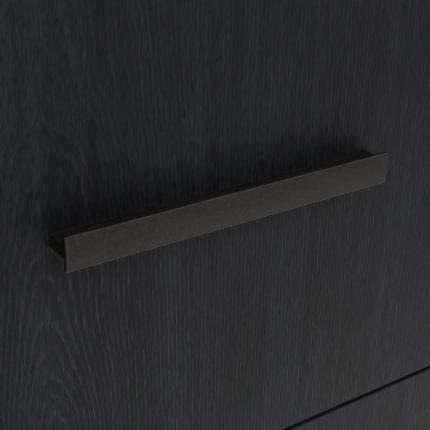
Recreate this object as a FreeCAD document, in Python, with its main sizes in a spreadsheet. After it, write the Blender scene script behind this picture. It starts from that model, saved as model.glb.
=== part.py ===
import FreeCAD, Part
import os

import PartDesign
import Sketcher

# A low dresser with four deep drawers in two columns and two rows. The case is veneered board joined
# by dowels and cam fittings on a recessed plinth. Each drawer is a board box behind an applied front
# with a pull cut from a T-shaped extrusion, and it runs on ball-bearing slides.
# Millimetres. +X is to the right, the front faces -Y, +Z is up. The origin is on the floor, under the
# middle of the overall width and depth.

Vector = FreeCAD.Vector
Rotation = FreeCAD.Rotation
Placement = FreeCAD.Placement

DIMENSIONS = {
    # overall size and boards
    "case_width": 1200,
    "case_height": 840,
    "case_depth": 450,  # of the side panels
    "board": 18,
    "top_board": 22,
    "front_board": 19,
    "edge_round": 0.8,
    # back
    "back_panel": 4,
    "back_inset": 10,
    "back_groove": 6,
    "panel_play": 0.2,
    "rail_height": 60,
    "wall_hole_radius": 3,
    # base
    "base_height": 60,
    "glide_height": 5,
    "glide_radius": 8.5,
    "glide_rim": 1.2,
    "glide_pin": 15,
    "glide_pin_radius": 2,
    "plinth_inset": 25,
    "plinth_setback": 50,
    # fronts
    "front_gap": 3,
    "side_reveal": 1,
    "bumper_gap": 2,
    "bumper_radius": 3.2,
    "bumper_height": 1.8,
    "bumper_from_end": 27,  # of a front, up or down to a bumper's middle
    "bumper_clear": 0.6,  # between a bumper and the gap between two fronts
    # pull
    "pull_length": 222,
    "pull_height": 20,
    "pull_depth": 18,
    "pull_plate": 3,
    "pull_crown": 0.4,  # how far the plate's face bulges
    "pull_stem_low": -2.9,
    "pull_stem_high": 5.3,
    "pull_round": 0.35,
    "pull_pitch": 192,
    "pull_thread": 10,
    "pull_tap_room": 2,  # beyond the end of the screw
    # drawer box
    "box_board": 16,
    "box_height": 270,
    "box_depth": 400,
    "box_lift": 32,  # above the bottom edge of its front
    "box_floor": 6,
    "floor_lift": 12,
    "floor_groove": 6,
    "fixing_spread": 400,
    "fixing_low": 40,
    "fixing_high": 230,
    "corner_low": 36,
    "corner_high": 200,
    # slides
    "slide_gap": 13,
    "slide_length": 400,
    "slide_height": 42,
    "slide_sheet": 1.2,
    "slide_depth": 11,
    "slide_lip": 2.4,
    "slide_lift": 85,  # centre line above the bottom of the box
    "slide_setback": 2,
    "inner_height": 32.2,
    "inner_depth": 9.8,
    "ball_radius": 1.6,
    "ball_pitch": 16,
    "ball_from_wall": 5.6,
    "ball_level": 17.95,
    "cage_length": 100,
    "cage_sheet": 0.8,
    "cage_width": 6,
    "cage_play": 0.15,
    # fasteners
    "drill_play": 0.08,
    "overcut": 1,  # how far a cutting tool runs past the face that it opens
    "slide_screw": 9.2,
    "slide_screw_radius": 1.9,
    "slide_head_radius": 3.6,
    "slide_head": 2,
    "fixing_screw_bite": 13,
    "fixing_screw_radius": 2,
    "fixing_head_radius": 4,
    "fixing_head": 2.4,
    "corner_screw": 42,
    "corner_screw_radius": 2.5,
    "corner_head_radius": 4.5,
    "corner_head": 3,
    "pull_screw_radius": 2,
    "pull_head_radius": 4.2,
    "pull_head": 2.6,
    "recess_width": 1,
    "recess_share": 0.6,  # of the head, both across and down
    "head_top_share": 0.72,  # of the head's radius, where its top is flat
    "head_rim_share": 0.55,  # of the head's height, where its side is straight
    "screw_tip_share": 0.25,  # of the shank's radius, at its very end
    # case joints
    "cam_radius": 7.5,
    "cam_height": 12.4,
    "cam_from_edge": 24,
    "cam_inset": 60,  # from the front and back edges
    "cam_mouth": 3.7,
    "cam_slot": 9.75,
    "cam_clear": 1,  # between a cam and the collar of its bolt
    "bolt_radius": 3,
    "bolt_head_radius": 3.4,
    "bolt_head": 2.4,
    "bolt_neck_radius": 2,
    "bolt_thread_radius": 2.5,
    "bolt_thread": 11,
    "dowel_radius": 4,
    "dowel_length": 30,
    "dowel_inset": 110,
}

BALLS_PER_CAGE = 6
OUTER_SCREW_SHARES = (0.09, 0.45, 0.88)  # places along a slide, as shares of its length
INNER_SCREW_SHARES = (0.14, 0.5, 0.82)
PLINTH_DOWEL_SHARES = (-0.7, -0.25, 0.25, 0.7)  # places along the plinth, as shares of its half length

doc = FreeCAD.newDocument("dresser")
subparts = []


class Size:
    """A length worked out from the sheet: its value in mm and the expression that gives it."""

    def __init__(self, value, text):
        self.value = value
        self.text = text

    def __neg__(self):
        return Size(-self.value, f"(-1 * {self.text})")

    def __add__(self, other):
        other = size_of(other)
        return Size(self.value + other.value, f"({self.text} + {other.text})")

    def __radd__(self, other):
        return size_of(other) + self

    def __sub__(self, other):
        other = size_of(other)
        return Size(self.value - other.value, f"({self.text} - {other.text})")

    def __rsub__(self, other):
        return size_of(other) - self

    def __mul__(self, other):
        other = size_of(other)
        return Size(self.value * other.value, f"({self.text} * {other.text})")

    def __rmul__(self, other):
        return size_of(other) * self

    def __truediv__(self, other):
        other = size_of(other)
        return Size(self.value / other.value, f"({self.text} / {other.text})")


def size_of(number):
    return number if isinstance(number, Size) else Size(float(number), f"{float(number):.6g}")


class Dims:
    """The driving dimensions, each a Size that names its cell of the sheet."""


def make_sheet():
    sheet = doc.addObject("Spreadsheet::Sheet", "dims")
    for row, (name, value) in enumerate(DIMENSIONS.items(), 1):
        sheet.set(f"A{row}", name)
        sheet.set(f"B{row}", str(value))
        sheet.setAlias(f"B{row}", name)
        setattr(Dims, name, Size(float(value), f"dims.{name}"))
    doc.recompute()


make_sheet()
d = Dims

# Levels and planes that several pieces share.
half_width = d.case_width / 2
depth = d.case_depth + d.bumper_gap + d.front_board + d.pull_depth
back_y = depth / 2
case_front_y = back_y - d.case_depth
front_back_y = case_front_y - d.bumper_gap
front_face_y = front_back_y - d.front_board
back_panel_y = back_y - d.back_inset - d.back_panel
rail_y = back_panel_y - d.board
under_top_z = d.case_height - d.top_board
floor_z = d.base_height + d.board
clear_half = half_width - d.board
bay_width = (d.case_width - 3 * d.board) / 2
bay_centre = d.board / 2 + bay_width / 2
front_width = (d.case_width - 2 * d.side_reveal - d.front_gap) / 2
front_height = (under_top_z - d.base_height - 2 * d.front_gap) / 2
front_centre = (d.front_gap + front_width) / 2
box_width = bay_width - 2 * d.slide_gap
box_back_y = front_back_y + d.box_depth
slide_front_y = case_front_y + d.slide_setback
plinth_half = half_width - d.plinth_inset
plinth_front_y = front_face_y + d.plinth_setback
plinth_back_y = back_y - d.plinth_inset - d.board

AXES = {
    "+X": Vector(1, 0, 0),
    "-X": Vector(-1, 0, 0),
    "+Y": Vector(0, 1, 0),
    "-Y": Vector(0, -1, 0),
    "+Z": Vector(0, 0, 1),
    "-Z": Vector(0, 0, -1),
}
TURNED = Rotation(Vector(0, 1, 0), 180)  # about the way a slide runs: left-hand to right-hand
UPRIGHT = Rotation()


def bind(item, **sizes):
    """Binds properties of item to the sheet; an underscore pair stands for a dot."""
    for name, size in sizes.items():
        item.setExpression(name.replace("__", "."), size_of(size).text)
    return item


def place(item, x, y, z, turn=UPRIGHT):
    item.Placement = Placement(Vector(), turn)
    return bind(item, Placement__Base__x=x, Placement__Base__y=y, Placement__Base__z=z)


def keep(item, label):
    """Makes item one of the sub-parts, under its own label."""
    item.Label = label
    subparts.append(item)
    return item


# ---------------------------------------------------------------- building blocks


def block(name, x, y, z, dx, dy, dz):
    """A rectangular block from its low corner and its size."""
    box = doc.addObject("Part::Box", name)
    bind(box, Length=dx, Width=dy, Height=dz)
    return place(box, x, y, z)


def hold(sketch, geometry, across, up):
    """Holds the first point of a sketch's line or point at a place that the sheet gives."""
    for kind, axis, size in (("DistanceX", -2, across), ("DistanceY", -1, up)):
        if abs(size.value) < 1e-9:
            sketch.addConstraint(Sketcher.Constraint("PointOnObject", geometry, 1, axis))
            continue
        number = sketch.addConstraint(Sketcher.Constraint(kind, -1, 1, geometry, 1, size.value))
        sketch.renameConstraint(number, f"{kind}_{geometry}")
        sketch.setExpression(f"Constraints.{kind}_{geometry}", size.text)


def outline_sketch(body, name, plane, points, arcs=None):
    """A closed outline on one of the body's origin planes, anticlockwise, each corner held by the sheet.

    Sides are straight, but a side numbered in arcs is an arc that bulges through the point given there.
    """
    sketch = body.newObject("Sketcher::SketchObject", name)
    origin_plane = next(item for item in body.Origin.OriginFeatures if item.Role == plane)
    sketch.AttachmentSupport = [(origin_plane, "")]
    sketch.MapMode = "FlatFace"
    points = [(size_of(across), size_of(up)) for across, up in points]
    arcs = {side: (size_of(across), size_of(up)) for side, (across, up) in (arcs or {}).items()}
    spots = [Vector(across.value, up.value, 0) for across, up in points]
    count = len(spots)
    for side, start in enumerate(spots):
        end = spots[(side + 1) % count]
        if side in arcs:
            through = Vector(arcs[side][0].value, arcs[side][1].value, 0)
            sketch.addGeometry(Part.Arc(start, through, end))
        else:
            sketch.addGeometry(Part.LineSegment(start, end))
    for side in range(count):
        sketch.addConstraint(Sketcher.Constraint("Coincident", side, 2, (side + 1) % count, 1))
    for side, (across, up) in enumerate(points):
        hold(sketch, side, across, up)
    for side, (across, up) in arcs.items():
        through = sketch.addGeometry(Part.Point(Vector(across.value, up.value, 0)), True)
        hold(sketch, through, across, up)
        sketch.addConstraint(Sketcher.Constraint("PointOnObject", through, 1, side))
    return sketch


def padded(name, plane, points, length, arcs=None, reverse=False, both_ways=False):
    """A body with one outline padded out to a length."""
    body = doc.addObject("PartDesign::Body", name)
    pad = body.newObject("PartDesign::Pad", f"{name}_pad")
    pad.Profile = outline_sketch(body, f"{name}_outline", plane, points, arcs)
    pad.Midplane = both_ways
    pad.Reversed = reverse
    bind(pad, Length=length)
    doc.recompute()
    return body, pad


def rounded(body, feature, radius):
    """Rounds every edge of the body's last feature."""
    names = [f"Edge{number}" for number in range(1, len(feature.Shape.Edges) + 1)]
    fillet = body.newObject("PartDesign::Fillet", f"{body.Name}_round")
    fillet.Base = (feature, names)
    bind(fillet, Radius=radius)
    doc.recompute()
    return fillet


def rounded_board(name, x, y, z, dx, dy, dz):
    """A board whose edges are all slightly rounded, from its low corner and its size."""
    corners = [(0, 0), (dx, 0), (dx, dy), (0, dy)]
    body, pad = padded(name, "XY_Plane", corners, dz)
    rounded(body, pad, d.edge_round)
    return place(body, x, y, z)


def rod(name, radius, length):
    """A plain cylinder that stands on its own origin, along its own +Z."""
    return bind(doc.addObject("Part::Cylinder", name), Radius=radius, Height=length)


def hole_for(name, radius, length):
    """The hole for a rod or shank of this size, which starts where that does."""
    return rod(name, radius + d.drill_play, length + d.drill_play)


def copies(name, master, places):
    """Links to one master, each pointing its own +Z a given way, or turned as given."""
    links = []
    for number, (way, x, y, z) in enumerate(places, 1):
        link = doc.addObject("App::Link", f"{name}_{number}")
        link.LinkedObject = master
        link.LinkTransform = False
        turn = Rotation(AXES["+Z"], AXES[way]) if isinstance(way, str) else way
        links.append(place(link, x, y, z, turn))
    return links


def group(name, members):
    compound = doc.addObject("Part::Compound", name)
    compound.Links = members
    return compound


def cut(name, base, tools):
    """The base less every tool."""
    result = doc.addObject("Part::Cut", name)
    result.Base = base
    result.Tool = tools[0] if len(tools) == 1 else group(f"{name}_tools", tools)
    return result


# ---------------------------------------------------------------- fasteners


def screw(name, head_radius, head_height, shank_radius, length):
    """A screw whose seat is at its origin, with its shank up +Z and a cross recess in its head."""
    body = doc.addObject("PartDesign::Body", name)
    outline = [
        (0, -head_height),
        (d.head_top_share * head_radius, -head_height),
        (head_radius, -1 * d.head_rim_share * head_height),
        (head_radius, 0),
        (shank_radius, 0),
        (shank_radius, length - shank_radius),
        (d.screw_tip_share * shank_radius, length),
        (0, length),
    ]
    turned = body.newObject("PartDesign::Revolution", f"{name}_turned")
    turned.Profile = outline_sketch(body, f"{name}_outline", "XZ_Plane", outline)
    turned.ReferenceAxis = (turned.Profile[0], ["V_Axis"])
    turned.Angle = 360
    doc.recompute()
    across = 2 * head_radius * d.recess_share
    down = head_height * d.recess_share
    half = d.recess_width / 2
    bars = [
        block(f"{name}_bar_a", -across / 2, -half, -head_height, across, d.recess_width, down),
        block(f"{name}_bar_b", -half, -across / 2, -head_height, d.recess_width, across, down),
    ]
    return cut(f"{name}_crossed", body, bars)


slide_screw = screw(
    "slide_screw", d.slide_head_radius, d.slide_head, d.slide_screw_radius, d.slide_screw
)
slide_screw_hole = hole_for("slide_screw_hole", d.slide_screw_radius, d.slide_screw)
fixing_length = d.box_board + d.fixing_screw_bite
fixing_screw = screw(
    "fixing_screw", d.fixing_head_radius, d.fixing_head, d.fixing_screw_radius, fixing_length
)
fixing_hole = hole_for("fixing_hole", d.fixing_screw_radius, fixing_length)
corner_screw = screw(
    "corner_screw",
    d.corner_head_radius,
    d.corner_head,
    d.corner_screw_radius,
    d.corner_screw - d.corner_head,
)
corner_hole = hole_for("corner_hole", d.corner_screw_radius, d.corner_screw - d.corner_head)
corner_seat = rod("corner_seat", d.corner_head_radius + d.drill_play, d.corner_head + d.overcut)
pull_screw_length = d.box_board + d.front_board + d.pull_thread
pull_screw = screw(
    "pull_screw", d.pull_head_radius, d.pull_head, d.pull_screw_radius, pull_screw_length
)
pull_screw_hole = hole_for("pull_screw_hole", d.pull_screw_radius, pull_screw_length)
dowel = rod("dowel", d.dowel_radius, d.dowel_length)
dowel_hole = hole_for("dowel_hole", d.dowel_radius, d.dowel_length)
wall_hole = rod("wall_hole", d.wall_hole_radius, 2 * d.board)


def make_cam():
    """A cam: its face at the origin looks up +Z, and its bolt comes in along +X."""
    disc = doc.addObject("Part::Cylinder", "cam_disc")
    bind(disc, Radius=d.cam_radius, Height=d.cam_height)
    place(disc, 0, 0, -d.cam_height)
    mouth = doc.addObject("Part::Cylinder", "cam_mouth")
    bind(mouth, Radius=d.cam_mouth, Height=d.cam_radius + d.cam_mouth)
    place(mouth, -d.cam_mouth, 0, -d.board / 2, Rotation(AXES["+Z"], AXES["+X"]))
    slot, width = d.cam_slot, d.recess_width
    bars = [
        block("cam_bar_a", -slot / 2, -width / 2, -width, slot, width, width),
        block("cam_bar_b", -width / 2, -slot / 2, -width, width, slot, width),
    ]
    return cut("cam", disc, [mouth] + bars)


def make_cam_bolt():
    """A bolt for a cam: its collar sits on the joint plane at the origin, its thread runs up +Z."""
    body = doc.addObject("PartDesign::Body", "cam_bolt")
    reach = d.cam_from_edge
    outline = [
        (0, -reach - d.bolt_head / 2),
        (d.bolt_head_radius, -reach - d.bolt_head / 2),
        (d.bolt_head_radius, -reach + d.bolt_head / 2),
        (d.bolt_neck_radius, -reach + d.bolt_head / 2),
        (d.bolt_neck_radius, -reach + d.cam_radius + d.cam_clear),
        (d.bolt_radius, -reach + d.cam_radius + d.cam_clear),
        (d.bolt_radius, 0),
        (d.bolt_thread_radius, 0),
        (d.bolt_thread_radius, d.bolt_thread),
        (0, d.bolt_thread),
    ]
    turned = body.newObject("PartDesign::Revolution", "cam_bolt_turned")
    turned.Profile = outline_sketch(body, "cam_bolt_outline", "XZ_Plane", outline)
    turned.ReferenceAxis = (turned.Profile[0], ["V_Axis"])
    turned.Angle = 360
    doc.recompute()
    return body


cam = make_cam()
cam_pocket = hole_for("cam_pocket", d.cam_radius, d.cam_height)
cam_bolt = make_cam_bolt()
bolt_bore = rod("bolt_bore", d.cam_mouth, d.cam_from_edge)
bolt_thread_hole = hole_for("bolt_thread_hole", d.bolt_thread_radius, d.bolt_thread)


def from_axes(x_axis, z_axis):
    return Rotation(AXES[x_axis], AXES[z_axis].cross(AXES[x_axis]), AXES[z_axis], "ZXY")


# ---------------------------------------------------------------- where the case is joined

joint_ys = (case_front_y + d.cam_inset, back_y - d.cam_inset)
dowel_ys = (case_front_y + d.dowel_inset, back_y - d.dowel_inset)
cam_z = under_top_z - d.cam_from_edge
middle_x = size_of(0)
uprights = (  # the face that takes the cams, the way it looks, the middle of the board
    (-clear_half, "+X", -clear_half - d.board / 2),
    (-d.board / 2, "-X", middle_x),
    (clear_half, "-X", clear_half + d.board / 2),
)
top_cams = [
    (from_axes("+Z", way), face, y, cam_z) for face, way, middle in uprights for y in joint_ys
]
top_bolts = [("+Z", middle, y, under_top_z) for face, way, middle in uprights for y in joint_ys]
top_dowels = [
    ("+Z", middle, y, under_top_z - d.dowel_length / 2)
    for face, way, middle in uprights
    for y in dowel_ys
]
middle_board_z = d.base_height + d.board / 2
side_cams, side_bolts, side_dowels = [], [], []
for sign, way in ((-1, "-X"), (1, "+X")):
    for y in joint_ys:
        cam_x = sign * (clear_half - d.cam_from_edge)
        side_cams.append((from_axes(way, "+Z"), cam_x, y, floor_z))
        side_bolts.append((way, sign * clear_half, y, middle_board_z))
    for y in dowel_ys:
        start = sign * (clear_half - d.dowel_length / 2)
        side_dowels.append((way, start, y, middle_board_z))
divider_dowels = [
    ("+Z", middle_x, y, floor_z - d.dowel_length / 2) for y in (*joint_ys, *dowel_ys)
]
plinth_dowels = [
    ("+Z", plinth_half * share, y + d.board / 2, d.base_height - d.dowel_length / 2)
    for share in PLINTH_DOWEL_SHARES
    for y in (plinth_front_y, plinth_back_y)
]
rail_dowels = [
    (way, sign * (clear_half - d.dowel_length / 2), rail_y + d.board / 2, under_top_z - drop)
    for sign, way in ((-1, "-X"), (1, "+X"))
    for drop in (d.rail_height / 4, d.rail_height * 3 / 4)
]
wall_holes = [
    ("+Y", sign * bay_centre, rail_y - d.overcut, under_top_z - d.rail_height / 2) for sign in (-1, 1)
]


def cam_drillings(name, cams, bolts):
    """The pockets for cams and the bores that their bolts come in through."""
    flip = Rotation(AXES["+X"], 180)
    pockets = [(turn * flip, x, y, z) for turn, x, y, z in cams]
    opposite = {"+X": "-X", "-X": "+X", "+Z": "-Z"}
    bores = [(opposite[way], x, y, z) for way, x, y, z in bolts]
    drilled = copies(f"{name}_pocket", cam_pocket, pockets)
    return drilled + copies(f"{name}_bore", bolt_bore, bores)


# ---------------------------------------------------------------- case


def make_top():
    board = rounded_board(
        "top_board_blank",
        -half_width,
        front_face_y,
        under_top_z,
        d.case_width,
        back_y - front_face_y,
        d.top_board,
    )
    groove = block(
        "top_groove",
        -clear_half - d.back_groove,
        back_panel_y - d.panel_play,
        under_top_z - d.overcut,
        2 * (clear_half + d.back_groove),
        d.back_panel + 2 * d.panel_play,
        d.back_groove + d.overcut,
    )
    tools = [groove]
    tools += copies("top_thread", bolt_thread_hole, top_bolts)
    tools += copies("top_dowel_hole", dowel_hole, top_dowels)
    keep(cut("top", board, tools), "top_panel")


def make_side(label, sign, slide_places):
    low_x = -half_width if sign < 0 else clear_half
    board = rounded_board(
        f"{label}_blank",
        low_x,
        case_front_y,
        d.base_height,
        d.board,
        d.case_depth,
        under_top_z - d.base_height,
    )
    groove_x = -clear_half - d.back_groove if sign < 0 else clear_half - d.overcut
    groove = block(
        f"{label}_groove",
        groove_x,
        back_panel_y - d.panel_play,
        d.base_height - d.overcut,
        d.back_groove + d.overcut,
        d.back_panel + 2 * d.panel_play,
        under_top_z - d.base_height + 2 * d.overcut,
    )
    here = slice(0, 2) if sign < 0 else slice(4, 6)
    there = slice(0, 2) if sign < 0 else slice(2, 4)
    tools = [groove]
    tools += cam_drillings(f"{label}_cam", top_cams[here], top_bolts[here])
    tools += copies(f"{label}_top_dowel", dowel_hole, top_dowels[here])
    tools += copies(f"{label}_thread", bolt_thread_hole, side_bolts[there])
    tools += copies(f"{label}_dowel", dowel_hole, side_dowels[there])
    tools += copies(f"{label}_rail_dowel", dowel_hole, rail_dowels[there])
    tools += copies(f"{label}_slide_hole", slide_screw_hole, slide_places)
    keep(cut(label, board, tools), label)


def make_bottom():
    board = block(
        "bottom_blank",
        -clear_half,
        case_front_y,
        d.base_height,
        2 * clear_half,
        d.case_depth,
        d.board,
    )
    groove = block(
        "bottom_groove",
        -clear_half - d.overcut,
        back_panel_y - d.panel_play,
        floor_z - d.back_groove,
        2 * (clear_half + d.overcut),
        d.back_panel + 2 * d.panel_play,
        d.back_groove + d.overcut,
    )
    tools = [groove]
    tools += cam_drillings("bottom_cam", side_cams, side_bolts)
    tools += copies("bottom_side_dowel", dowel_hole, side_dowels)
    tools += copies("bottom_divider_dowel", dowel_hole, divider_dowels)
    tools += copies("bottom_plinth_dowel", dowel_hole, plinth_dowels)
    keep(cut("bottom", board, tools), "bottom_panel")


def make_divider(slide_places):
    board = block(
        "divider_blank",
        -d.board / 2,
        case_front_y,
        floor_z,
        d.board,
        back_panel_y - case_front_y,
        under_top_z - floor_z,
    )
    notch = block(
        "divider_notch",
        -d.board,
        rail_y - d.panel_play,
        under_top_z - d.rail_height - d.panel_play,
        2 * d.board,
        2 * d.board,
        2 * d.rail_height,
    )
    tools = [notch]
    tools += cam_drillings("divider_cam", top_cams[2:4], top_bolts[2:4])
    tools += copies("divider_top_dowel", dowel_hole, top_dowels[2:4])
    tools += copies("divider_dowel", dowel_hole, divider_dowels)
    tools += copies("divider_slide_hole", slide_screw_hole, slide_places)
    keep(cut("divider", board, tools), "centre_divider")


def make_back():
    reach = d.back_groove - d.panel_play
    panel = block(
        "back_blank",
        -clear_half - reach,
        back_panel_y,
        floor_z - reach,
        2 * (clear_half + reach),
        d.back_panel,
        under_top_z - floor_z + 2 * reach,
    )
    holes = copies("back_wall_hole", wall_hole, wall_holes)
    keep(cut("back", panel, holes), "back_panel")
    rail = block(
        "rail_blank",
        -clear_half,
        rail_y,
        under_top_z - d.rail_height,
        2 * clear_half,
        d.board,
        d.rail_height,
    )
    tools = copies("rail_wall_hole", wall_hole, wall_holes)
    tools += copies("rail_dowel", dowel_hole, rail_dowels)
    keep(cut("rail", rail, tools), "back_rail")


def glide_places():
    end_x = plinth_half - d.board / 2
    return [
        ("+Z", x, y + d.board / 2, size_of(0))
        for x in (-end_x, middle_x, end_x)
        for y in (plinth_front_y, plinth_back_y)
    ]


def make_glides():
    """Round plastic glides, each with a pin that is pressed up into the plinth."""
    body = doc.addObject("PartDesign::Body", "glide")
    outline = [
        (0, 0),
        (d.glide_radius - d.glide_rim, 0),
        (d.glide_radius, d.glide_rim),
        (d.glide_radius, d.glide_height),
        (d.glide_pin_radius, d.glide_height),
        (d.glide_pin_radius, d.glide_height + d.glide_pin),
        (0, d.glide_height + d.glide_pin),
    ]
    turned = body.newObject("PartDesign::Revolution", "glide_turned")
    turned.Profile = outline_sketch(body, "glide_outline", "XZ_Plane", outline)
    turned.ReferenceAxis = (turned.Profile[0], ["V_Axis"])
    turned.Angle = 360
    doc.recompute()
    keep(group("glide_set", copies("glide_copy", body, glide_places())), "glides")


def make_plinth():
    pin_hole = hole_for("pin_hole", d.glide_pin_radius, d.glide_height + d.glide_pin)
    height = d.base_height - d.glide_height
    for label, y in (("plinth_front", plinth_front_y), ("plinth_back", plinth_back_y)):
        board = rounded_board(
            f"{label}_blank", -plinth_half, y, d.glide_height, 2 * plinth_half, d.board, height
        )
        first = 0 if label == "plinth_front" else 1
        tools = copies(f"{label}_pin_hole", pin_hole, glide_places()[first::2])
        tools += copies(f"{label}_dowel", dowel_hole, plinth_dowels[first::2])
        keep(cut(label, board, tools), label)
    run = plinth_back_y - plinth_front_y - d.board
    ties = [
        block(f"plinth_tie_{number}", x, plinth_front_y + d.board, d.glide_height, d.board, run, height)
        for number, x in enumerate((-plinth_half, -d.board / 2, plinth_half - d.board), 1)
    ]
    keep(group("plinth_tie_set", ties), "plinth_ties")


def make_case_hardware(slide_places):
    fittings = copies("cam_copy", cam, top_cams + side_cams)
    fittings += copies("bolt_copy", cam_bolt, top_bolts + side_bolts)
    keep(group("cam_fitting_set", fittings), "cam_fittings")
    pins = top_dowels + side_dowels + divider_dowels + plinth_dowels + rail_dowels
    keep(group("dowel_set", copies("dowel_copy", dowel, pins)), "dowels")
    keep(group("slide_screw_set", copies("case_screw", slide_screw, slide_places)), "slide_screws")
    bumper = rod("bumper", d.bumper_radius, d.bumper_height)
    inner = d.front_gap / 2 + d.bumper_radius + d.bumper_clear
    outer = half_width - d.board / 2
    places = []
    for row in range(2):
        low = front_level(row)
        for z in (low + d.bumper_from_end, low + front_height - d.bumper_from_end):
            for x in (-outer, -inner, inner, outer):
                places.append(("-Y", x, case_front_y, z))
    keep(group("bumper_set", copies("bumper_copy", bumper, places)), "bumpers")


# ---------------------------------------------------------------- slides


def outer_member():
    """The channel fixed to the case, left hand: its web is on X = 0 and it opens towards +X."""
    half = d.slide_height / 2
    outline = [
        (0, -half),
        (d.slide_depth, -half),
        (d.slide_depth, -half + d.slide_sheet + d.slide_lip),
        (d.slide_depth - d.slide_sheet, -half + d.slide_sheet + d.slide_lip),
        (d.slide_depth - d.slide_sheet, -half + d.slide_sheet),
        (d.slide_sheet, -half + d.slide_sheet),
        (d.slide_sheet, half - d.slide_sheet),
        (d.slide_depth - d.slide_sheet, half - d.slide_sheet),
        (d.slide_depth - d.slide_sheet, half - d.slide_sheet - d.slide_lip),
        (d.slide_depth, half - d.slide_sheet - d.slide_lip),
        (d.slide_depth, half),
        (0, half),
    ]
    body, _ = padded("outer_member", "XZ_Plane", outline, d.slide_length, reverse=True)
    holes = [("-X", d.slide_sheet, share * d.slide_length, size_of(0)) for share in OUTER_SCREW_SHARES]
    return cut("outer_slide", body, copies("outer_hole", slide_screw_hole, holes))


def inner_member():
    """The channel fixed to the drawer, left hand: its web is against the box at X = slide_gap."""
    half = d.inner_height / 2
    web = d.slide_gap - d.slide_sheet
    start = d.slide_gap - d.inner_depth
    outline = [
        (start, -half),
        (d.slide_gap, -half),
        (d.slide_gap, half),
        (start, half),
        (start, half - d.slide_sheet),
        (web, half - d.slide_sheet),
        (web, -half + d.slide_sheet),
        (start, -half + d.slide_sheet),
    ]
    body, _ = padded("inner_member", "XZ_Plane", outline, d.slide_length, reverse=True)
    holes = [("+X", web, share * d.slide_length, size_of(0)) for share in INNER_SCREW_SHARES]
    return cut("inner_slide", body, copies("inner_hole", slide_screw_hole, holes))


def ball_offsets():
    first = (d.cage_length - (BALLS_PER_CAGE - 1) * d.ball_pitch) / 2
    return [first + number * d.ball_pitch for number in range(BALLS_PER_CAGE)]


def ball_cage():
    """One strip that spaces a row of balls: its middle is at the level of the ball centres."""
    strip = block(
        "cage_strip",
        d.ball_from_wall - d.cage_width / 2,
        0,
        -d.cage_sheet / 2,
        d.cage_width,
        d.cage_length,
        d.cage_sheet,
    )
    window = rod("cage_window", d.ball_radius + d.cage_play, 4 * d.cage_sheet)
    places = [("+Z", d.ball_from_wall, y, -2 * d.cage_sheet) for y in ball_offsets()]
    return cut("ball_cage", strip, copies("cage_window_copy", window, places))


outer_slide = outer_member()
inner_slide = inner_member()
cage = ball_cage()
ball = doc.addObject("Part::Sphere", "ball")
bind(ball, Radius=d.ball_radius)
cage_y = slide_front_y + (d.slide_length - d.cage_length) / 2


def bay_walls(column):
    """The two walls of a bay: X of the wall, the sign that points into the bay, the slide's hand."""
    centre = column * bay_centre
    return (
        (centre - bay_width / 2, 1, UPRIGHT),
        (centre + bay_width / 2, -1, TURNED),
    )


def outer_screw_places(column, row):
    """Where the case members' screws sit on each wall of a bay."""
    z = slide_level(row)
    places = []
    for wall, inward, _ in bay_walls(column):
        way = "-X" if inward > 0 else "+X"
        for share in OUTER_SCREW_SHARES:
            y = slide_front_y + share * d.slide_length
            places.append((way, wall + inward * d.slide_sheet, y, z))
    return places


def front_level(row):
    return d.base_height + row * (front_height + d.front_gap)


def box_level(row):
    return front_level(row) + d.box_lift


def slide_level(row):
    return box_level(row) + d.slide_lift


# ---------------------------------------------------------------- drawers


def make_pull(name, column, row):
    """A length of T-shaped extrusion whose stem is tapped from behind for two screws."""
    plate_back = -(d.pull_depth - d.pull_plate)
    plate_front = -(d.pull_depth - d.pull_crown)
    half = d.pull_height / 2
    profile = [
        (0, d.pull_stem_low),
        (0, d.pull_stem_high),
        (plate_back, d.pull_stem_high),
        (plate_back, half),
        (plate_front, half),
        (plate_front, -half),
        (plate_back, -half),
        (plate_back, d.pull_stem_low),
    ]
    face = {4: (-d.pull_depth, 0)}
    blank = f"{name}_blank"
    body, pad = padded(blank, "YZ_Plane", profile, d.pull_length, arcs=face, both_ways=True)
    rounded(body, pad, d.pull_round)
    front_x = column * front_centre
    middle_z = front_level(row) + front_height / 2
    place(body, front_x, front_face_y, middle_z)
    tap_length = d.pull_thread + d.pull_tap_room + d.overcut
    tapped = rod(f"{name}_tapped", d.pull_screw_radius + d.drill_play, tap_length)
    start_y = front_face_y + d.overcut
    places = [
        ("-Y", front_x + side * d.pull_pitch / 2, start_y, middle_z + stem_middle())
        for side in (-1, 1)
    ]
    return cut(name, body, copies(f"{name}_tapped_hole", tapped, places))


def stem_middle():
    return (d.pull_stem_low + d.pull_stem_high) / 2


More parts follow.
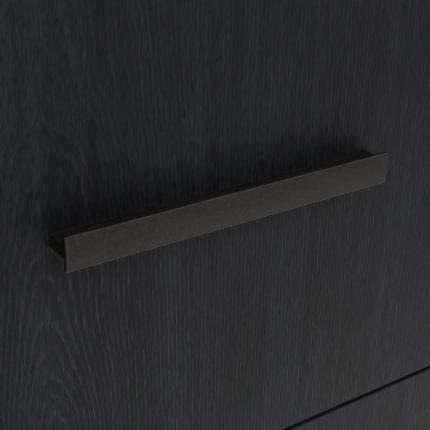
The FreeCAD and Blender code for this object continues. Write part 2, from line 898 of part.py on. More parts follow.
def make_drawer(label, column, row):
    """One drawer: an applied front, its pull, a box of four boards round a thin floor, and slides."""
    centre = column * bay_centre
    low_x = centre - box_width / 2
    high_x = centre + box_width / 2
    low_z = box_level(row)
    inside = d.box_board - d.floor_groove
    front_x = column * front_centre
    pull_z = front_level(row) + front_height / 2 + stem_middle()

    pull_places = [
        ("-Y", front_x + side * d.pull_pitch / 2, front_back_y + d.box_board, pull_z)
        for side in (-1, 1)
    ]
    fixing_places = [
        ("-Y", centre + side * d.fixing_spread / 2, front_back_y + d.box_board, low_z + z)
        for side in (-1, 1)
        for z in (d.fixing_low, d.fixing_high)
    ]
    end_ys = (front_back_y + d.box_board / 2, box_back_y - d.box_board / 2)
    corner_places = [
        (way, x, y, low_z + z)
        for way, x in (("+X", low_x + d.corner_head), ("-X", high_x - d.corner_head))
        for y in end_ys
        for z in (d.corner_low, d.corner_high)
    ]
    inner_screws = []
    for wall, inward, _ in bay_walls(column):
        way = "+X" if inward > 0 else "-X"
        web = wall + inward * (d.slide_gap - d.slide_sheet)
        for share in INNER_SCREW_SHARES:
            y = slide_front_y + share * d.slide_length
            inner_screws.append((way, web, y, slide_level(row)))

    front = rounded_board(
        f"{label}_front_blank",
        front_x - front_width / 2,
        front_face_y,
        front_level(row),
        front_width,
        d.front_board,
        front_height,
    )
    tools = copies(f"{label}_front_pull_hole", pull_screw_hole, pull_places)
    tools += copies(f"{label}_front_fixing_hole", fixing_hole, fixing_places)
    keep(cut(f"{label}_front_cut", front, tools), f"{label}_front")
    keep(make_pull(f"{label}_pull_cut", column, row), f"{label}_pull")
    pull_screws = copies(f"{label}_pull_screw", pull_screw, pull_places)
    keep(group(f"{label}_pull_screw_set", pull_screws), f"{label}_pull_screws")

    groove_reach = d.floor_groove + d.overcut
    groove_high = d.box_floor + 2 * d.panel_play
    groove_z = low_z + d.floor_lift - d.panel_play
    right_x = high_x - d.box_board
    sides = (
        ("left", low_x, low_x + inside, slice(0, 4), slice(0, 3)),
        ("right", right_x, right_x - d.overcut, slice(4, 8), slice(3, 6)),
    )
    for hand, x, groove_x, corners, slide_screws in sides:
        board = rounded_board(
            f"{label}_{hand}_blank",
            x,
            front_back_y,
            low_z,
            d.box_board,
            d.box_depth,
            d.box_height,
        )
        groove = block(
            f"{label}_{hand}_groove",
            groove_x,
            front_back_y + inside,
            groove_z,
            groove_reach,
            d.box_depth - 2 * inside,
            groove_high,
        )
        sign = 1 if hand == "left" else -1
        seats = [
            (way, seat_x - sign * (d.corner_head + d.overcut), y, z)
            for way, seat_x, y, z in corner_places[corners]
        ]
        tools = [groove]
        tools += copies(f"{label}_{hand}_corner", corner_hole, corner_places[corners])
        tools += copies(f"{label}_{hand}_seat", corner_seat, seats)
        tools += copies(f"{label}_{hand}_slide", slide_screw_hole, inner_screws[slide_screws])
        keep(cut(f"{label}_{hand}_cut", board, tools), f"{label}_box_{hand}")

    between = box_width - 2 * d.box_board
    back_board_y = box_back_y - d.box_board
    for end, y, groove_y in (
        ("front", front_back_y, front_back_y + inside),
        ("back", back_board_y, back_board_y - d.overcut),
    ):
        board = rounded_board(
            f"{label}_box_{end}_blank",
            low_x + d.box_board,
            y,
            low_z,
            between,
            d.box_board,
            d.box_height,
        )
        groove = block(
            f"{label}_box_{end}_groove",
            low_x + inside,
            groove_y,
            groove_z,
            box_width - 2 * inside,
            groove_reach,
            groove_high,
        )
        corners = [spot for spot in corner_places if abs(spot[2].value - y.value) < d.box_board.value]
        tools = [groove] + copies(f"{label}_box_{end}_corner", corner_hole, corners)
        if end == "front":
            tools += copies(f"{label}_box_front_pull", pull_screw_hole, pull_places)
            tools += copies(f"{label}_box_front_fixing", fixing_hole, fixing_places)
        keep(cut(f"{label}_box_{end}_cut", board, tools), f"{label}_box_{end}")

    floor_start = inside + d.panel_play
    floor = block(
        f"{label}_floor",
        low_x + floor_start,
        front_back_y + floor_start,
        low_z + d.floor_lift,
        box_width - 2 * floor_start,
        d.box_depth - 2 * floor_start,
        d.box_floor,
    )
    keep(floor, f"{label}_box_floor")

    screws = copies(f"{label}_fixing_screw", fixing_screw, fixing_places)
    screws += copies(f"{label}_corner_screw", corner_screw, corner_places)
    screws += copies(f"{label}_slide_screw", slide_screw, inner_screws)
    keep(group(f"{label}_screw_set", screws), f"{label}_box_screws")

    z = slide_level(row)
    members, balls = [], []
    for hand, (wall, inward, turn) in enumerate(bay_walls(column)):
        members += copies(f"{label}_inner_{hand}", inner_slide, [(turn, wall, slide_front_y, z)])
        for level in (-1, 1):
            name = f"{label}_cage_{hand}_{level + 1}"
            cage_z = z + level * d.ball_level
            balls += copies(name, cage, [(turn, wall, cage_y, cage_z)])
            spots = [
                ("+Z", wall + inward * d.ball_from_wall, cage_y + y, cage_z) for y in ball_offsets()
            ]
            balls += copies(f"{name}_ball", ball, spots)
    keep(group(f"{label}_inner_set", members), f"{label}_slide_inner")
    keep(group(f"{label}_ball_set", balls), f"{label}_ball_cages")


DRAWERS = (  # name, the side of the middle it is on, its row from the bottom
    ("lower_left", -1, 0),
    ("lower_right", 1, 0),
    ("upper_left", -1, 1),
    ("upper_right", 1, 1),
)


def make_case():
    places = [outer_screw_places(column, row) for _, column, row in DRAWERS]
    every_place = [spot for bay in places for spot in bay]
    left_wall = [spot for spot in every_place if spot[1].value < -half_width.value / 2]
    right_wall = [spot for spot in every_place if spot[1].value > half_width.value / 2]
    middle_wall = [spot for spot in every_place if abs(spot[1].value) < half_width.value / 2]
    make_top()
    make_side("side_panel_left", -1, left_wall)
    make_side("side_panel_right", 1, right_wall)
    make_bottom()
    make_divider(middle_wall)
    make_back()
    make_plinth()
    make_glides()
    make_case_hardware(every_place)
    members = []
    for label, column, row in DRAWERS:
        for hand, (wall, _, turn) in enumerate(bay_walls(column)):
            spot = [(turn, wall, slide_front_y, slide_level(row))]
            members += copies(f"{label}_outer_{hand}", outer_slide, spot)
    keep(group("outer_set", members), "slide_outer")


def check_and_write():
    """Stops on any failed object or bad shape, then writes one STEP file for each sub-part."""
    doc.recompute()
    failed = [item.Name for item in doc.Objects if {"Invalid", "Error"} & set(item.State)]
    if failed:
        raise SystemExit(f"these objects failed: {failed}")
    for item in subparts:
        shape = item.Shape
        if shape.isNull() or not shape.isValid() or not shape.Solids:
            raise SystemExit(f"{item.Label} has no valid solid")
    os.makedirs("parts", exist_ok=True)
    for item in subparts:
        item.Shape.exportStep(f"parts/{item.Label}.step")
        print(f"{item.Label}: {len(item.Shape.Solids)} solids, {item.Shape.Volume / 1000:.1f} cm3")
    print(f"{len(subparts)} sub-parts")


make_case()
for drawer_label, drawer_column, drawer_row in DRAWERS:
    make_drawer(drawer_label, drawer_column, drawer_row)
check_and_write()
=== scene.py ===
"""A dresser in black-stained ash with four drawers and bronze pulls: finishes, light, floor and camera."""

import math

import bpy
from mathutils import Matrix, Vector


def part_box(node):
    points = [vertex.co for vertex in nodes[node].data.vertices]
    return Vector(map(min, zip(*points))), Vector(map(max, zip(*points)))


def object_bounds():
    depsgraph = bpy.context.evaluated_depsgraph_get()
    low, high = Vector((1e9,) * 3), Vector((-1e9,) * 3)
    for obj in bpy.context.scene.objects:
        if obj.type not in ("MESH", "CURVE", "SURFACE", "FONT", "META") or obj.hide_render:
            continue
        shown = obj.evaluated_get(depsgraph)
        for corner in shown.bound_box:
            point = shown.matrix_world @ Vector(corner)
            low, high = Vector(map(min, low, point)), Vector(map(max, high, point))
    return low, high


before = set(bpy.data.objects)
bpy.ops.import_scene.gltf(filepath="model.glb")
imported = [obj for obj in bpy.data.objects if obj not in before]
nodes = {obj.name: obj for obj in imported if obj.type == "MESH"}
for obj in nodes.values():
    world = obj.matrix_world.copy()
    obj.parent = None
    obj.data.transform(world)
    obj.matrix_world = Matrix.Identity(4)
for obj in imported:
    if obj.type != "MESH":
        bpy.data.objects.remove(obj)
cad_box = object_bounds()

DRAWERS = ("lower_left", "lower_right", "upper_left", "upper_right")
X, Y, Z = range(3)


class Wire:
    """A number on its way through a material's nodes, so that a sum of wires reads as a sum."""

    def __init__(self, graph, socket):
        self.graph = graph
        self.socket = socket

    def __add__(self, other):
        return self.graph.math("ADD", self, other)

    def __sub__(self, other):
        return self.graph.math("SUBTRACT", self, other)

    def __rsub__(self, other):
        return self.graph.math("SUBTRACT", other, self)

    def __mul__(self, other):
        return self.graph.math("MULTIPLY", self, other)

    def __truediv__(self, other):
        return self.graph.math("DIVIDE", self, other)

    __radd__ = __add__
    __rmul__ = __mul__


class Graph:
    """The nodes of one material, with a Principled shader that a finish is painted on."""

    def __init__(self, name):
        self.material = bpy.data.materials.new(name)
        self.material.use_nodes = True
        self.tree = self.material.node_tree
        self.tree.nodes.clear()

    def node(self, kind, inputs, **settings):
        """A node with its settings and inputs, each input a wire or a plain value."""
        node = self.tree.nodes.new(f"ShaderNode{kind}")
        for name, value in settings.items():
            setattr(node, name, value)
        for socket, value in inputs.items():
            if isinstance(value, Wire):
                self.tree.links.new(value.socket, node.inputs[socket])
            else:
                node.inputs[socket].default_value = value
        return node

    def wire(self, node, output=0):
        return Wire(self, node.outputs[output])

    def math(self, operation, *values):
        return self.wire(self.node("Math", dict(enumerate(values)), operation=operation))

    def ramp(self, value, low, high):
        """0 where the value is at low, 1 where it is at high, and smooth between."""
        inputs = {"Value": value, "From Min": low, "From Max": high}
        return self.wire(self.node("MapRange", inputs, interpolation_type="SMOOTHSTEP"))

    def between(self, share, first, second):
        return self.wire(self.node("Mix", {0: share, 2: first, 3: second}, data_type="FLOAT"))

    def blend(self, share, first, second):
        """A colour from the first one to the second."""
        colours = {
            socket: colour if isinstance(colour, Wire) else (*colour, 1)
            for socket, colour in ((6, first), (7, second))
        }
        return self.wire(self.node("Mix", {0: share, **colours}, data_type="RGBA"), 2)

    def vector(self, x, y, z):
        return self.wire(self.node("CombineXYZ", {0: x, 1: y, 2: z}))

    def split(self, vector):
        node = self.node("SeparateXYZ", {0: vector})
        return [self.wire(node, axis) for axis in range(3)]

    def place(self):
        """The surface point in metres, in the frame's own axes, as three wires."""
        return self.split(self.wire(self.node("TexCoord", {}), "Object"))

    def facing(self):
        """The surface's own direction, as three wires."""
        return self.split(self.wire(self.node("NewGeometry", {}), "True Normal"))

    def own(self, name):
        """A number that each object carries."""
        node = self.node("Attribute", {}, attribute_type="OBJECT", attribute_name=name)
        return self.wire(node, "Fac")

    def noise(self, x, y, z, detail=2.0, roughness=0.5):
        """A soft random number from 0 to 1; x * 360.0 gives it about 360 waves to the metre along x."""
        inputs = {"Vector": self.vector(x, y, z), "Scale": 1.0, "Detail": detail, "Roughness": roughness}
        return self.wire(self.node("TexNoise", inputs))

    def chance(self, x, y):
        """A random number from 0 to 1 for each pair of whole numbers."""
        node = self.node("TexWhiteNoise", {"Vector": self.vector(x, y, 0.0)}, noise_dimensions="2D")
        return self.wire(node, "Value")

    def edge(self, radius):
        """1 on sharp edges and corners, 0 on flat faces."""
        bevel = self.wire(self.node("Bevel", {"Radius": radius}, samples=6))
        flat = self.wire(self.node("NewGeometry", {}), "True Normal")
        turn = self.wire(self.node("VectorMath", {0: bevel, 1: flat}, operation="DOT_PRODUCT"), "Value")
        return self.ramp(turn, 0.995, 0.85)

    def finish(self, colour, roughness, height, depth, **constants):
        """The shader, with a relief that is depth metres high where height is 1."""
        inputs = {"Base Color": colour, "Roughness": roughness}
        for name, value in constants.items():
            inputs[name.replace("_", " ")] = value
        bump = self.node("Bump", {"Strength": 1.0, "Distance": depth, "Height": height})
        inputs["Normal"] = self.wire(bump)
        shader = self.node("BsdfPrincipled", inputs)
        output = self.node("OutputMaterial", {})
        self.tree.links.new(shader.outputs["BSDF"], output.inputs["Surface"])
        return self.material


# The veneer's pattern, with lengths in metres
LEAF = 0.18  # width of one leaf of veneer, with one flame in its middle
RING = 0.0028  # distance between two growth rings
FLAME_TOP = 0.36  # height above a flame's foot at which its sides run upright
FLAME_BEND = 0.05  # length over which they turn upright
ODD_DROP = 0.45  # how much lower that is in every other leaf, which so has no flame
DEPTH_PER_HEIGHT = 0.13  # how fast the cut moves away from the heart of the tree
FOOT_DEPTH = 0.008  # its distance from the heart at a flame's foot
LEAST_DEPTH = 0.003
# The share that these set for the rings' strength also makes the veneer's colour lighter low on each board
# and darker from FAINT_FROM up, as painted shade.
BOLD_UP_TO = 0.13  # height above a flame's foot up to which the rings are bold
FAINT_FROM = 0.25  # height from which they are faint
FAINT = 0.3  # share of their strength that is left there
GAINED = 0.6  # share that they gain below it


def grain(graph, across, along, thin):
    """Coordinates across and along the grain; the bands on a board's ends run along those ends."""
    place = graph.place()
    facing = graph.facing()
    end = graph.math("GREATER_THAN", graph.math("ABSOLUTE", facing[along]), 0.7)
    u = graph.between(end, place[across] + place[thin], place[thin])
    v = graph.between(end, place[along], place[across])
    return u - graph.own("leaf_middle"), v - graph.own("flame_foot")


def black_ash(name, across, along, thin):
    """Open-pored ash veneer under black stain, flat cut, so that each leaf has a flame in its middle."""
    graph = Graph(name)
    u, v = grain(graph, across, along, thin)
    seed = graph.own("seed")

    drift = graph.noise(u * 2.0, v * 3.0, seed, detail=1.0) - 0.5
    sway = graph.noise(u * 16.0, v * 7.0, seed + 3.0, detail=2.0) - 0.5
    shake = graph.noise(u * 160.0, v * 16.0, seed + 5.0, detail=2.0) - 0.5
    u_bent = u + drift * 0.03 + sway * 0.0018
    leaf = graph.math("ROUND", u_bent / LEAF)
    luck = graph.chance(leaf, seed)
    aside = graph.math("PINGPONG", u_bent, LEAF / 2)
    rough_cut = graph.noise(u * 11.0, v * 9.0, seed + 7.0, detail=3.0) - 0.5
    jag = graph.noise(u * 900.0, v * 45.0, seed + 9.0, detail=2.0) - 0.5
    odd = graph.math("PINGPONG", leaf, 1.0)
    climb = graph.math("SMOOTH_MIN", v, FLAME_TOP - odd * ODD_DROP, FLAME_BEND)
    rise = (climb + jag * 0.016) * DEPTH_PER_HEIGHT + (luck - 0.5) * 0.02 + rough_cut * 0.02 + FOOT_DEPTH
    deep = graph.math("MAXIMUM", rise, LEAST_DEPTH)
    radius = graph.math("SQRT", aside * aside + deep * deep)
    phase = (radius + drift * 0.02) / RING + shake * 0.35
    ring = graph.math("FLOOR", phase)
    season = graph.math("FRACT", phase)
    strength = graph.chance(ring, leaf + seed)
    flame = graph.ramp(aside / deep, 0.75, 0.25)

    late = graph.ramp(season, 0.0, 0.12) * graph.ramp(season, 0.48, 0.15)
    broken = graph.ramp(graph.noise(u * 360.0, v * 85.0, seed + 11.0, detail=2.0), 0.38, 0.6)
    ridge = late * (strength * 0.7 + 0.3) * (broken * 0.8 + 0.2)
    fibre = graph.noise(u * 1300.0, v * 48.0, seed + 13.0, detail=2.0, roughness=0.6)
    crackle = graph.noise(u * 800.0, v * 240.0, seed + 17.0, detail=2.0, roughness=0.6)
    dash = graph.noise(u * 2300.0, v * 150.0, seed + 19.0, detail=1.0)
    early = graph.ramp(season, 0.5, 0.85)
    pore = graph.ramp(dash, 0.56, 0.68) * (early * 0.8 + 0.2)
    blotch = graph.noise(u * 16.0, v * 7.0, seed + 23.0, detail=3.0)
    streak = graph.noise(u * 110.0, v * 5.0, seed + 29.0, detail=2.0)

    bold_and_lit_low = graph.ramp(v, FAINT_FROM, BOLD_UP_TO) * GAINED + FAINT
    light = (ridge - 0.2) * bold_and_lit_low * (1.0 - flame * 0.2) + (fibre - 0.5) * 1.1 + (crackle - 0.5) * 1.0
    # The share that makes the rings bold also lightens the whole colour low on each board and darkens it
    # higher up: painted shade.
    light = light + (blotch - 0.5) * 0.75 + (streak - 0.5) * 0.8 + flame * 0.06 + bold_and_lit_low * 0.17 + 0.305
    light = graph.ramp(light - pore * 0.36, 0.0, 1.0)
    worn = graph.edge(0.0008) * graph.ramp(graph.noise(u * 70.0, v * 70.0, seed, detail=3.0), 0.5, 0.72)
    darkest, lightest = (0.0007, 0.0008, 0.0011), (0.0161, 0.0167, 0.0204)
    bare_wood = (0.075, 0.066, 0.056)
    colour = graph.blend(worn * 0.5, graph.blend(light, darkest, lightest), bare_wood)
    rough = 0.62 - ridge * 0.2 + (crackle - 0.5) * 0.16 + pore * 0.1
    height = ridge * (bold_and_lit_low * 0.5 + 0.1) + fibre * 0.4 + crackle * 0.4 - pore * 0.6
    sheen_tint = (0.92, 0.955, 1.0, 1)
    return graph.finish(
        colour, rough, height, depth=0.00065, Specular_IOR_Level=0.228, Specular_Tint=sheen_tint
    )


def black_foil(name, along):
    """Paper foil printed with a faint black grain, for what is out of sight."""
    graph = Graph(name)
    place = graph.place()
    seed = graph.own("seed")
    others = [axis for axis in (X, Y, Z) if axis != along]
    u = place[others[0]] + place[others[1]]
    v = place[along]
    lines = graph.noise(u * 420.0, v * 9.0, seed, detail=4.0, roughness=0.6)
    waves = graph.noise(u * 40.0, v * 5.0, seed + 2.0, detail=2.0)
    tooth = graph.noise(u * 2500.0, v * 900.0, seed + 4.0, detail=1.0)
    light = graph.ramp(lines * 0.7 + waves * 0.3, 0.3, 0.72)
    worn = graph.edge(0.001) * graph.ramp(graph.noise(u * 60.0, v * 60.0, seed, detail=3.0), 0.5, 0.7)
    darkest, lightest = (0.0085, 0.0088, 0.0095), (0.0215, 0.022, 0.0235)
    bare_board = (0.09, 0.075, 0.06)
    colour = graph.blend(worn * 0.45, graph.blend(light, darkest, lightest), bare_board)
    rough = 0.5 + (waves - 0.5) * 0.12 - light * 0.05
    height = tooth * 0.6 + lines * 0.4
    return graph.finish(colour, rough, height, depth=0.00006, Specular_IOR_Level=0.35)


def hardboard():
    """Lacquered hardboard, pressed from fibres."""
    graph = Graph("hardboard")
    x, y, z = graph.place()
    u = x + y * 0.5
    fibres = graph.noise(u * 260.0, z * 210.0, y * 90.0, detail=5.0, roughness=0.65)
    cloud = graph.noise(u * 5.0, z * 5.0, y, detail=3.0)
    fleck = graph.ramp(graph.noise(u * 700.0, z * 340.0, y, detail=2.0), 0.62, 0.74)
    light = graph.ramp(fibres * 0.6 + cloud * 0.5, 0.35, 0.75)
    darkest, lightest = (0.011, 0.0105, 0.0105), (0.031, 0.029, 0.028)
    bare_fibre = (0.07, 0.058, 0.046)
    colour = graph.blend(fleck * 0.35, graph.blend(light, darkest, lightest), bare_fibre)
    rough = 0.52 + (cloud - 0.5) * 0.2 + (fibres - 0.5) * 0.2
    return graph.finish(colour, rough, fibres, depth=0.0001, Specular_IOR_Level=0.35)


def box_foil(name, dark, light):
    """Foil with a fine linen pattern, as drawer boxes are wrapped in."""
    threads = 5200.0  # radians to the metre, so a thread is 1.2 mm wide
    graph = Graph(name)
    x, y, z = graph.place()
    facing = graph.facing()
    level = graph.math("GREATER_THAN", graph.math("ABSOLUTE", facing[Z]), 0.7)
    u = x + y
    v = graph.between(level, z, x - y)
    warp = graph.math("SINE", u * threads + graph.noise(u * 30.0, v * 300.0, 1.0) * 6.0)
    weft = graph.math("SINE", v * threads + graph.noise(u * 300.0, v * 30.0, 2.0) * 6.0)
    slub_across = graph.noise(u * 30.0, v * 600.0, 3.0, detail=3.0)
    slub = slub_across + graph.noise(u * 600.0, v * 30.0, 4.0, detail=3.0)
    cloud = graph.noise(u * 4.0, v * 4.0, 5.0, detail=2.0)
    weave = (warp + weft) * 0.12 + slub * 0.5
    tone = graph.ramp(weave + (cloud - 0.5) * 0.3, 0.1, 0.9)
    scuff = graph.edge(0.0015) * graph.ramp(graph.noise(u * 40.0, v * 40.0, 6.0, detail=3.0), 0.45, 0.7)
    bare_board = (0.42, 0.36, 0.28)
    colour = graph.blend(scuff * 0.4, graph.blend(tone, dark, light), bare_board)
    rough = 0.55 + (slub - 1.0) * 0.2 + (cloud - 0.5) * 0.1
    return graph.finish(colour, rough, weave, depth=0.00005, Specular_IOR_Level=0.4)


def bronze():
    """Aluminium under a dark bronze powder coat with a fine texture, its edges lighter, partly from wear
    and partly as a painted highlight.
    """
    graph = Graph("bronze")
    x, y, z = graph.place()
    facing = graph.facing()
    peel = graph.noise(x * 1000.0, y * 1000.0, z * 1000.0, detail=3.0)
    grit = graph.noise(x * 1500.0, y * 1500.0, z * 1500.0, detail=2.0)
    speck = graph.noise(x * 380.0, y * 380.0, z * 520.0, detail=2.0)
    cloud = graph.noise(x * 75.0, y * 75.0, z * 150.0, detail=3.0)
    drawn = graph.noise(x * 25.0, y * 900.0, z * 900.0, detail=2.0)
    fleck = graph.ramp(grit, 0.55, 0.68)
    on_top = graph.ramp(facing[Z], 0.5, 0.9)
    streaky = drawn + (drawn - 0.5) * on_top * 6.0
    tone = graph.ramp(peel * 0.5 + speck * 0.35 + cloud * 0.3 + streaky * 0.1, 0.485, 0.765)
    darkest, lightest = (0.0018, 0.0016, 0.0011), (0.0136, 0.0122, 0.0093)
    bright_fleck = (0.05, 0.044, 0.034)
    coat = graph.blend(fleck * 0.22, graph.blend(tone, darkest, lightest), bright_fleck)
    near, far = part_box("upper_right_pull")  # all four pulls are as far forward
    # The edges get a lighter rubbed colour. A little of it on every edge is wear. Most of it, on the
    # plate's front edges and where the stem meets the drawer front, is a painted highlight.
    plate_edges = graph.ramp(y, near.y + 0.0024, near.y + 0.0010)
    stem_foot = graph.ramp(y, far.y - 0.002, far.y)
    worn_and_highlit_share = plate_edges * 0.8 + stem_foot * 0.4 + 0.2
    rubbed_and_highlit = graph.edge(0.001) * (graph.ramp(cloud, 0.3, 0.5) * 0.4 + 0.6) * worn_and_highlit_share
    rubbed_highlit_bronze = (0.125, 0.12, 0.106)
    colour = graph.blend(rubbed_and_highlit, coat, rubbed_highlit_bronze)
    rough = 0.43 + (cloud - 0.5) * 0.3 + (speck - 0.5) * 0.3 + (peel - 0.5) * 0.2
    height = peel * 0.5 + grit * 0.3 + speck * 0.2
    bronze_tint = (1.0, 0.98, 0.945, 1)
    return graph.finish(
        colour, rough, height, depth=0.00014, Specular_IOR_Level=0.265, Specular_Tint=bronze_tint
    )


def metal(name, dull, bright, roughness, stretch=1.0):
    """Plated steel with a faint crystalline mottle and fine lines along its length."""
    graph = Graph(name)
    x, y, z = graph.place()
    mottle = graph.noise(x * 180.0, y * 180.0, z * 180.0, detail=3.0)
    lines = graph.noise(x * 1600.0, y * 1600.0 / stretch, z * 1600.0, detail=2.0)
    tone = graph.ramp(mottle * 0.6 + lines * 0.4, 0.3, 0.7)
    colour = graph.blend(tone, dull, bright)
    smudge = graph.noise(x * 40.0, y * 40.0, z * 40.0, detail=4.0)
    rough = roughness + (smudge - 0.5) * 0.25 + (lines - 0.5) * 0.08
    return graph.finish(colour, rough, lines, depth=0.00002, Metallic=1.0)


def plastic(name, dark, light, roughness, **constants):
    """Moulded plastic with a fine spark-eroded skin."""
    graph = Graph(name)
    x, y, z = graph.place()
    skin = graph.noise(x * 2200.0, y * 2200.0, z * 2200.0, detail=1.0)
    cloud = graph.noise(x * 90.0, y * 90.0, z * 90.0, detail=3.0)
    colour = graph.blend(graph.ramp(skin * 0.4 + cloud * 0.6, 0.35, 0.65), dark, light)
    rough = roughness + (cloud - 0.5) * 0.2
    return graph.finish(colour, rough, skin, depth=0.00004, **constants)


def birch():
    """Bare birch, for the dowels."""
    graph = Graph("birch")
    x, y, z = graph.place()
    streak = graph.noise((x + z) * 900.0, y * 900.0, (x - z) * 60.0, detail=3.0)
    cloud = graph.noise(x * 70.0, y * 70.0, z * 70.0, detail=2.0)
    light = graph.ramp(streak * 0.7 + cloud * 0.3, 0.3, 0.7)
    colour = graph.blend(light, (0.42, 0.29, 0.16), (0.66, 0.5, 0.32))
    rough = 0.62 + (streak - 0.5) * 0.2
    return graph.finish(colour, rough, streak, depth=0.00008, Specular_IOR_Level=0.35)


def paint(material, slot_name, *names):
    """Gives CAD nodes a finish; slot_name is not used."""
    for name in names:
        node = nodes[name]
        node.data.materials.clear()
        node.data.materials.append(material)


def of_drawers(*parts):
    return [f"{drawer}_{part}" for drawer in DRAWERS for part in parts]


ash_upright = black_ash("black_ash_upright", X, Z, Y)
ash_side = black_ash("black_ash_side", Y, Z, X)
ash_top = black_ash("black_ash_top", Y, X, Z)
ash_plinth = black_ash("black_ash_plinth", Z, X, Y)
paint(ash_upright, "black_ash", *of_drawers("front"))
paint(ash_side, "black_ash", "side_panel_left", "side_panel_right")
paint(ash_top, "black_ash", "top_panel")
paint(ash_plinth, "black_ash", "plinth_front")
foil_level = black_foil("black_foil_level", X)
foil_upright = black_foil("black_foil_upright", Y)
paint(foil_level, "black_foil", "bottom_panel", "back_rail", "plinth_back")
paint(foil_upright, "black_foil", "centre_divider", "plinth_ties")
paint(hardboard(), "hardboard", "back_panel")
box_boards = box_foil("box_foil", dark=(0.165, 0.165, 0.16), light=(0.235, 0.235, 0.228))
paint(box_boards, "box_foil", *of_drawers("box_left", "box_right", "box_front", "box_back"))
box_floors = box_foil("box_floor", dark=(0.19, 0.19, 0.185), light=(0.26, 0.26, 0.252))
paint(box_floors, "box_floor", *of_drawers("box_floor"))
paint(bronze(), "bronze", *of_drawers("pull"))
zinc = metal("zinc", dull=(0.36, 0.37, 0.39), bright=(0.6, 0.61, 0.63), roughness=0.38, stretch=40.0)
paint(zinc, "zinc", "cam_fittings", "slide_outer", *of_drawers("slide_inner"))
steel = metal("screw_steel", dull=(0.4, 0.4, 0.41), bright=(0.62, 0.62, 0.62), roughness=0.3)
paint(steel, "screw_steel", "slide_screws", *of_drawers("pull_screws", "box_screws", "ball_cages"))
black_plastic = plastic(
    "glide_plastic", dark=(0.012, 0.012, 0.013), light=(0.022, 0.022, 0.023), roughness=0.45
)
paint(black_plastic, "glide_plastic", "glides")
rubber = plastic(
    "bumper_rubber", dark=(0.5, 0.5, 0.48), light=(0.62, 0.62, 0.6), roughness=0.25,
    Transmission_Weight=0.5, IOR=1.48,
)
paint(rubber, "bumper_rubber", "bumpers")
paint(birch(), "birch", "dowels")


def grow(name, leaf_middle, flame_foot, seed):
    """Where a flame of the veneer's pattern stands on a board, and which cut it comes from."""
    node = nodes[name]
    node["leaf_middle"] = leaf_middle
    node["flame_foot"] = flame_foot
    node["seed"] = seed


# Every board has its own cut of wood or foil, and each front a flame a little left of its pull.
for number, name in enumerate(sorted(nodes)):
    grow(name, 0.037 * number % LEAF, 0.31 + 0.11 * (number % 5), 10.0 + 7.3 * number)

fronts = {drawer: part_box(f"{drawer}_front") for drawer in DRAWERS}
for number, (drawer, (low, high)) in enumerate(fronts.items()):
    middle = (low.x + high.x) / 2 + low.y
    grow(f"{drawer}_front", middle - 0.115 + 0.027 * number, low.z - 0.05, 31.0 + 13.0 * number)
low, high = fronts["upper_right"]
pull_middle = Vector(((low.x + high.x) / 2, low.y, (low.z + high.z) / 2))
grow("upper_right_front", pull_middle.x + low.y - 0.113, low.z, 83.0)


def area_light(name, at, aim, size, watts):
    """A softbox that lights the dresser but isn't seen itself."""
    data = bpy.data.lights.new(name, "AREA")
    data.shape = "RECTANGLE"
    data.size, data.size_y = size
    data.energy = watts
    light = bpy.data.objects.new(name, data)
    light.location = at
    light.rotation_euler = (Vector(aim) - Vector(at)).to_track_quat("-Z", "Y").to_euler()
    light.visible_camera = False
    bpy.context.scene.collection.objects.link(light)


def toward(azimuth, elevation, distance):
    """A point that far from the upper right pull; azimuth 0 is straight in front and 90 to the right."""
    around, above = math.radians(azimuth), math.radians(elevation)
    flat = math.cos(above)
    direction = Vector((math.sin(around) * flat, -math.cos(around) * flat, math.sin(above)))
    return pull_middle + distance * direction


STAND_OFF = 2.4
SOFTBOX = (0.9, 0.9)
area_light("right", toward(45, 30, STAND_OFF), pull_middle, SOFTBOX, 19.2)
area_light("front_high", toward(0, 45, STAND_OFF), pull_middle, SOFTBOX, 15.5)
area_light("left_high", toward(-40, 50, STAND_OFF), pull_middle, SOFTBOX, 11.2)
# Light that a bright patch of floor throws up from the right
glow_at = Vector((pull_middle.x + 0.45, pull_middle.y - 0.36, 0.03))
area_light("floor_glow", glow_at, glow_at + Vector((0, 0, 1)), (0.9, 0.6), 2.15)
# The sides and the back have their own light, which doesn't shine on the front
area_light("left_side", (-2.6, 0.5, 1.0), (-0.6, 0, 0.42), (1.2, 1.0), 16)
area_light("right_side", (2.6, 0.6, 1.0), (0.6, 0, 0.42), (1.2, 1.0), 13)
area_light("back", (-1.2, 2.6, 1.8), (0, 0.2, 0.4), (2.0, 1.5), 30)


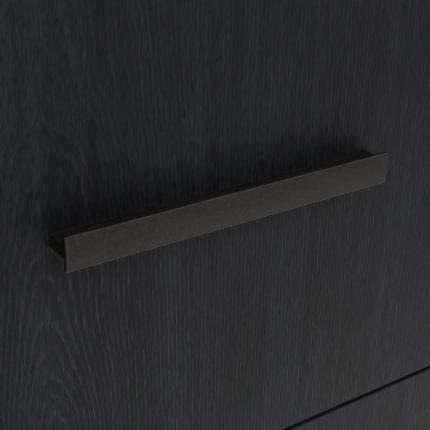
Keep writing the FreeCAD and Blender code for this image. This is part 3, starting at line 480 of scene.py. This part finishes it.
def studio_world():
    """Pale walls all round and a dimmer ceiling."""
    brightness = ((0.0, 0.405), (0.12, 0.335), (0.3, 0.17), (0.55, 0.085), (0.85, 0.05))
    world = bpy.data.worlds.new("studio")
    world.use_nodes = True
    tree = world.node_tree
    tree.nodes.clear()
    direction = tree.nodes.new("ShaderNodeTexCoord")
    split = tree.nodes.new("ShaderNodeSeparateXYZ")
    ramp = tree.nodes.new("ShaderNodeValToRGB")
    background = tree.nodes.new("ShaderNodeBackground")
    output = tree.nodes.new("ShaderNodeOutputWorld")
    tree.links.new(direction.outputs["Generated"], split.inputs[0])
    tree.links.new(split.outputs["Z"], ramp.inputs[0])
    tree.links.new(ramp.outputs[0], background.inputs["Color"])
    tree.links.new(background.outputs[0], output.inputs["Surface"])
    stops = ramp.color_ramp.elements
    for height, level in brightness:
        stop = stops.new(height)
        stop.color = (level, level, level, 1)
    stops.remove(stops[-1])
    stops.remove(stops[0])
    background.inputs["Strength"].default_value = 1.0
    bpy.context.scene.world = world


def floor():
    """A plain pale floor with painted light: it glows away from the dresser as if more light fell there,
    lighting the dresser from below, and where it doesn't glow, near the dresser, it is a painted shadow.
    """
    reach = 14
    far_glow = 0.33
    graph = Graph("floor")
    x, y, z = graph.place()
    cloud = graph.noise(x * 0.8, y * 0.8, 0.0, detail=3.0)
    grit = graph.noise(x * 60.0, y * 60.0, 0.0, detail=3.0)
    colour = graph.blend(cloud * 0.7 + grit * 0.3, (0.74, 0.735, 0.725), (0.82, 0.815, 0.805))
    past_sides = graph.math("ABSOLUTE", x) - cad_box[1].x
    past_front_or_back = graph.math("ABSOLUTE", y) - cad_box[1].y
    clear = graph.math("MAXIMUM", past_sides, past_front_or_back)
    # Painted light: the floor glows more the further it lies from the dresser, which leaves a painted
    # shadow round the dresser.
    glow = graph.ramp(clear, -0.05, 1.6) * far_glow
    rough = 0.7 + (grit - 0.5) * 0.1
    warm_white = (1, 0.995, 0.985, 1)
    material = graph.finish(
        colour, rough, grit, depth=0.0002,
        Specular_IOR_Level=0.2, Emission_Color=warm_white, Emission_Strength=glow,
    )
    corners = [(-reach, -reach, 0), (reach, -reach, 0), (reach, reach, 0), (-reach, reach, 0)]
    mesh = bpy.data.meshes.new("floor")
    mesh.from_pydata(corners, [], [(0, 1, 2, 3)])
    mesh.materials.append(material)
    ground = bpy.data.objects.new("floor", mesh)
    bpy.context.scene.collection.objects.link(ground)


studio_world()
floor()

# The camera looks down at the upper right pull from its left.
eye = pull_middle + Vector((-0.310, -0.4225, 0.2325))
aim = pull_middle + Vector((-0.0065, 0, -0.0102))
camera_data = bpy.data.cameras.new("camera")
camera_data.sensor_width = 36
camera_data.lens = 83.3
camera_data.clip_start = 0.02
camera = bpy.data.objects.new("camera", camera_data)
turn = (aim - eye).to_track_quat("-Z", "Y").to_matrix().to_4x4()
roll = math.radians(1.49)
camera.matrix_world = Matrix.Translation(eye) @ turn @ Matrix.Rotation(roll, 4, "Z")
bpy.context.scene.collection.objects.link(camera)
bpy.context.scene.camera = camera
bpy.context.scene.view_settings.view_transform = "Standard"
